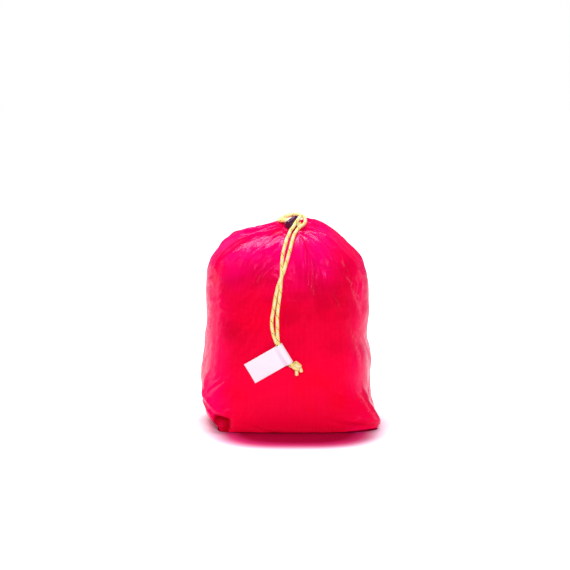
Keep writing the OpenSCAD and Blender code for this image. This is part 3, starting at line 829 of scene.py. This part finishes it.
def on_cloth(row, column):
    """Point and normal on the finished cloth at a row and column that needn't be whole."""
    i, k = np.floor(row).astype(int), np.floor(column).astype(int)
    f, g = (row - i)[..., None], (column - k)[..., None]
    i = np.clip(i, 0, ROWS - 1)

    def mixed(grid):
        low = grid[i, k % COLUMNS] * (1 - g) + grid[i, (k + 1) % COLUMNS] * g
        high = grid[i + 1, k % COLUMNS] * (1 - g) + grid[i + 1, (k + 1) % COLUMNS] * g
        return low * (1 - f) + high * f

    return mixed(cloth), unit(mixed(cloth_normals))


cloth_normals = grid_normals(cloth)

# ---- sewn details ----


def stitches(name, middles, ways, normals, length, made_of, radius=.00022, **more):
    """A row of stitches: short threads that arch over the cloth and dip into it at both ends."""
    parts = []
    for middle, way, normal in zip(middles, unit(np.array(ways)), normals):
        t = np.linspace(-1, 1, 7)[:, None]
        line = middle + way * t * length / 2 + normal * (radius * 1.1 - t ** 4 * radius * 2.4)
        parts.append(tube(line, radius, 7, rounded=radius))
    points, faces, uvs = joined(parts)
    return piece(name, points, faces, *made_of, uvs, **more)


def stitch_ring(name, row, count, length, stands_for):
    columns = (np.arange(count) + .5) / count * COLUMNS
    rows = np.full(count, float(row))
    middles, normals = on_cloth(rows, columns)
    ways = on_cloth(rows, columns + .4)[0] - on_cloth(rows, columns - .4)[0]
    return stitches(name, middles, ways, normals, length, OF_THREAD, stands_for=stands_for)


stitch_ring("base_seam_stitches", row=2.2, count=140, length=.0024, stands_for=["base_seam_thread"])
stitch_ring("channel_stitches", row=ROWS - 5.2, count=44, length=.0014, stands_for=["channel_thread"])

# The felled seam up the middle of the back
seam_rows = np.arange(1.5, ROWS - 7, .75)
# half its width, how far it stands out, how deep its edges sit, and where its threads run
SEAM_HALF, SEAM_LIFT, SEAM_SUNK, SEAM_THREADS, THREAD_LIFT = .0035, .00045, .0002, .0025, .0002


def back_column(row):
    """The column where the cloth crosses the middle of the back, and columns for each metre there."""
    i = int(row)
    k = np.arange(COLUMNS)
    behind = np.where(cloth[i, :, 1] > 0)[0]
    middle = behind[np.abs(cloth[i, behind, 0]).argmin()]
    step = cloth[i, (middle + 1) % COLUMNS, 0] - cloth[i, (middle - 1) % COLUMNS, 0]
    return middle - cloth[i, middle, 0] / (step / 2), 2 / step


def seam_line(across):
    places = [back_column(row) for row in seam_rows]
    columns = np.array([middle + across * per_metre for middle, per_metre in places])
    kernel = np.ones(9) / 9
    columns = np.convolve(np.pad(columns, 4, mode="edge"), kernel, mode="valid")
    return on_cloth(seam_rows, columns)


strip = []
for share in np.linspace(-1, 1, 9):
    spot, normal = seam_line(share * SEAM_HALF)
    pucker = .00012 * np.sin(seam_rows * 2.1 + share * 2)
    edge = math.sqrt(max(0., 1 - abs(share) ** 6))
    strip.append(spot + normal * (SEAM_LIFT * edge - SEAM_SUNK + pucker * edge)[:, None])
grid_piece("back_seam_strip", np.array(strip).transpose(1, 0, 2), False, (.00088, .0013), *OF_RED,
           stands_for=["back_seam"])
thread_rows = [seam_line(x) for x in (-SEAM_THREADS, SEAM_THREADS)]
middles = np.vstack([p[::2] for p, _ in thread_rows])
seam_normals = np.vstack([q[::2] for _, q in thread_rows])
seam_ways = np.vstack([np.gradient(p, axis=0)[::2] for p, _ in thread_rows])
stitches("back_seam_stitches", middles + seam_normals * THREAD_LIFT, seam_ways, seam_normals, .0019,
         OF_THREAD, stands_for=["back_seam_threads"])

# The base panel, puckered a little where it is sewn in
rim = cloth[0]
centre = rim.mean(0)
shares = np.linspace(1, .02, 26)[:, None, None]
base = centre + (rim - centre) * shares * .996
turn = np.arange(COLUMNS)[None, :] * math.tau / COLUMNS
puckers = np.sin(31 * turn) * shares[..., 0] ** 12 + 1
base[..., 2] = CLOTH_LOWEST + .0005 * puckers * step_up(1 - shares[..., 0], 0, .08)
grid_piece("base_cloth", base[::-1], True, (.0019, .0026), *OF_RED, stands_for=["base_panel"])

# The gathered hem that the cord runs in
HEM_PROFILE = [(.0112, -.0036), (.0117, -.0022), (.0114, -.0004), (.0104, .0012), (.0088, .0021),
               (.007, .0023), (.0052, .0018), (.0038, .0004), (.003, -.0014), (.0027, -.0034)]
hem_line = smooth_line([(r, 0, z) for r, z in HEM_PROFILE], .0004)
hem_turn = np.arange(COLUMNS) / COLUMNS * math.tau
hem_way = unit(np.gradient(hem_line, axis=0))
hem_out = np.stack([hem_way[:, 2], -hem_way[:, 0]], 1)
fold = pleats(hem_turn, 26, 1)[None, :] * .0007 + pleats(hem_turn + .1, 41, 5)[None, :] * .0003
fold = fold * (.45 + .55 * np.abs(hem_line[:, None, 0] - .007) / .0045)
radii = hem_line[:, None, 0] + hem_out[:, None, 0] * fold
heights = hem_line[:, None, 2] + hem_out[:, None, 1] * fold
hem = carried(np.stack([radii * np.cos(hem_turn), radii * np.sin(hem_turn), heights], -1), MOUTH)
grid_piece("gathered_hem", hem[::-1], True, (.0019, .0004), *OF_RED, stands_for=["drawcord_channel"])

# Buttonhole stitches round the window that the cord leaves by
HOLE_STITCHES, HOLE_WIDE, HOLE_DEEP, HOLE_LEVEL = 34, .0041, .0026, .0032
hole_turn = np.arange(HOLE_STITCHES) / HOLE_STITCHES * math.tau
ring = np.stack([HOLE_WIDE * np.cos(hole_turn), HOLE_DEEP * np.sin(hole_turn) - GATHER_R,
                 np.full(HOLE_STITCHES, HOLE_LEVEL)], 1)
outwards = np.stack([np.cos(hole_turn), np.sin(hole_turn), np.full(HOLE_STITCHES, -.35)], 1)
up_mouth = np.tile(carried(np.array((0, 0, 1.)), MOUTH, True), (HOLE_STITCHES, 1))
stitches("cord_exit_stitches", carried(ring, MOUTH), carried(outwards, MOUTH, True), up_mouth, .0016,
         OF_THREAD, .00027, stands_for=["cord_exit_stitching"])

# ---- the label ----

# how thick the tape is, half the way between its two layers, and where its row of stitches is
LAYER, LAYER_OFF, LABEL_SEAM_X = .00024, .00017, -.0052
leaf_end = -LABEL_LENGTH + SLEEVE_R
sleeve_turn = np.radians(np.arange(-158, 159, 12))
leaf_xs = np.linspace(leaf_end, LABEL_SEAM_X, 24)
sleeve = [(SLEEVE_R * math.cos(a), SLEEVE_R * math.sin(a)) for a in sleeve_turn]
outline = [(x, -LAYER_OFF) for x in leaf_xs] + sleeve + [(x, LAYER_OFF) for x in leaf_xs[::-1]]
outline = smooth_line([(x, y, 0) for x, y in outline], .0007)
label_zs = np.linspace(-LABEL_WIDTH / 2, LABEL_WIDTH / 2, 25)
tape = np.array([[(x, y, z) for x, y, _ in outline] for z in label_zs])
leaf_share = np.clip((-.004 - tape[..., 0]) / (-.004 - leaf_end), 0, 1)
tape[..., 1] += -.0004 * np.sin(leaf_share * 2.6) + .0003 * leaf_share * np.sin(tape[..., 2] * 300 + 1)
label = grid_piece("woven_label", carried(tape, LABEL), False, (.0007, .00083), "tag", LABEL_WHITE,
                   "label_cloth", stands_for=["label"])
thick = label.modifiers.new("thickness", "SOLIDIFY")
thick.thickness, thick.offset = LAYER, 0
label_seam_z = ((np.arange(9) + .5) / 9 - .5) * (LABEL_WIDTH - .001)
label_spots = [(face, z) for face in (-1, 1) for z in label_seam_z]
middles = np.array([(LABEL_SEAM_X, face * (LAYER_OFF + LAYER / 2), z) for face, z in label_spots])
ways = np.array([(0, 0, 1.) for _ in label_spots])
outs = np.array([(0, face, 0) for face, _ in label_spots])
label_stitches = stitches("label_stitches", carried(middles, LABEL), carried(ways, LABEL, True),
                          carried(outs, LABEL, True), .0016, ("tag", LILAC_THREAD, "label_thread"),
                          .00016, stands_for=["label_stitching"])

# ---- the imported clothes, and the lock's finishes ----

bundle = skin_of("packed_load", rows=60, columns=120, low=.0012, mouth_radius=.0145)
bundle_normals = grid_normals(bundle)
roll = np.sin(bundle[..., 2] * 210 + 2 * np.sin(bundle[..., 0] * 60)) + np.sin(bundle[..., 0] * 150)
bundle -= bundle_normals * np.array((1, 1, 0)) * (.0052 + .0011 * roll)[..., None]
bundle[..., :2] *= 1 - .13 * step_up(bundle[..., 2], .03, .001)[..., None]
bundle[..., 2] -= .004 * step_up(bundle[..., 2], .13, .17)
top_ring = bundle[-1:]
crown = [top_ring + (top_ring.mean(1, keepdims=True) - top_ring) * s for s in (.35, .7, .97)]
foot = [bundle[:1] + (bundle[:1].mean(1, keepdims=True) - bundle[:1]) * s for s in (.97, .6, .3)]
bundle = np.concatenate(foot + [bundle] + crown)
grid_piece("packed_clothes", bundle, True, (.0037, .0035), "sack", PACKED, "packed_cloth",
           stands_for=["packed_load"])

for node, finish in (("lock_barrel", LOCK), ("lock_plunger", LOCK), ("lock_spring", STEEL)):
    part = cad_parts[node]
    part.data.materials.clear()
    part.data.materials.append(finish)

# ---- the floor and the light ----

# the light from all round, how bright and what colour the room is in reflections, and half the size of
# the painted red shadow on the floor, with its middle
FILL_LIGHT, REFLECTED_SHARE, REFLECTED_COLOUR = .24, .36, rgb(255, 112, 190)
PAINTED_SHADOW_SIZE, PAINTED_SHADOW_AT = (.067, .080), (.006, -.035)
FLOOR_SIZE, FLOOR_LEVEL = 3., -.0002


def seen_directly(tree):
    """1 for rays from the camera and through glass, less for reflections, and 0 for all other rays."""
    path = tree.nodes.new("ShaderNodeLightPath")
    value = path.outputs["Is Camera Ray"]
    for name, share in (("Is Glossy Ray", REFLECTED_SHARE), ("Is Transmission Ray", 1.)):
        part, either = tree.nodes.new("ShaderNodeMath"), tree.nodes.new("ShaderNodeMath")
        part.operation, either.operation = "MULTIPLY", "MAXIMUM"
        part.inputs[1].default_value = share
        tree.links.new(path.outputs[name], part.inputs[0])
        tree.links.new(value, either.inputs[0])
        tree.links.new(part.outputs[0], either.inputs[1])
        value = either.outputs[0]
    return value


def floor_material():
    """A white sheet with a soft gloss, with a painted red shadow in front of the sack, which stands in
    for the shade and for the light that passes through the thin cloth.
    Away from the sack the sheet fades to the plain white of the backdrop."""
    n = Nodes("floor", Roughness=.3, Specular_IOR_Level=.3, Emission_Color=(1, .985, 1, 1))
    spot = n.spot()
    x, y, _ = n.split(spot)
    cubes = []
    for axis, middle, half in zip((x, y), PAINTED_SHADOW_AT, PAINTED_SHADOW_SIZE):
        away = n.math("DIVIDE", n.minus(axis, middle), half)
        cubes.append(n.math("POWER", n.math("ABSOLUTE", away), 3.))
    edge = n.math("POWER", n.plus(*cubes), 1 / 3)
    # painted shadow: dark red near the sack, then a painted pink glow, then the sheet's own grey-white
    colour = n.mix(n.ramp(edge, .72, .95), rgb(164, 6, 66), rgb(230, 60, 140))
    colour = n.mix(n.ramp(edge, .9, 1.12), colour, rgb(252, 214, 244))
    colour = n.mix(n.ramp(edge, 1.1, 1.3), colour, (.93, .92, .94, 1))
    far = n.add("ShaderNodeVectorMath", 1, settings={"operation": "LENGTH"},
                i0=n.scaled(spot, (1., .8, 0.)))
    glow = n.times(n.ramp(far, .062, .135), n.ramp(edge, 1., 1.25))
    return n.done(Base_Color=colour, Emission_Strength=n.times(glow, seen_directly(n.tree)))


floor_corners = [(-1, -1), (1, -1), (1, 1), (-1, 1)]
floor_points = [(x * FLOOR_SIZE, y * FLOOR_SIZE, FLOOR_LEVEL) for x, y in floor_corners]
floor = mesh_object("floor", floor_points, [(0, 1, 2, 3)])
floor.data.materials.append(floor_material())

world = bpy.data.worlds.new("studio")
scene.world = world
world.use_nodes = True
world_nodes, world_links = world.node_tree.nodes, world.node_tree.links
background = world_nodes["Background"]
# what the shiny cloth reflects is a pale pink, so that its grazing folds stay pink and don't turn grey
room_rays, room = world_nodes.new("ShaderNodeLightPath"), world_nodes.new("ShaderNodeMix")
room.data_type = "RGBA"
room.inputs[6].default_value, room.inputs[7].default_value = (1, 1, 1, 1), REFLECTED_COLOUR
world_links.new(room_rays.outputs["Is Glossy Ray"], room.inputs[0])
world_links.new(room.outputs[2], background.inputs["Color"])
level = world_nodes.new("ShaderNodeMapRange")
level.inputs["To Min"].default_value, level.inputs["To Max"].default_value = FILL_LIGHT, 1.
world_links.new(seen_directly(world.node_tree), level.inputs["Value"])
world_links.new(level.outputs[0], background.inputs["Strength"])


LIGHTS_AIM = Vector((0, 0, .09))


def soft_light(name, place, size, watts):
    data = bpy.data.lights.new(name, "AREA")
    data.shape, data.size, data.size_y, data.energy = "RECTANGLE", size[0], size[1], watts
    made = bpy.data.objects.new(name, data)
    scene.collection.objects.link(made)
    made.location = place
    made.rotation_euler = (LIGHTS_AIM - Vector(place)).to_track_quat("-Z", "Y").to_euler()


soft_light("top_light", (-.15, .35, 1.), (.6, .35), 10.)
soft_light("left_light", (-1., .2, .4), (.2, .8), 2.)
soft_light("right_light", (1., .2, .4), (.2, .8), 2.)
soft_light("front_light", (.05, -1.45, .8), (.42, .24), 13.)

scene.view_settings.view_transform = "Standard"
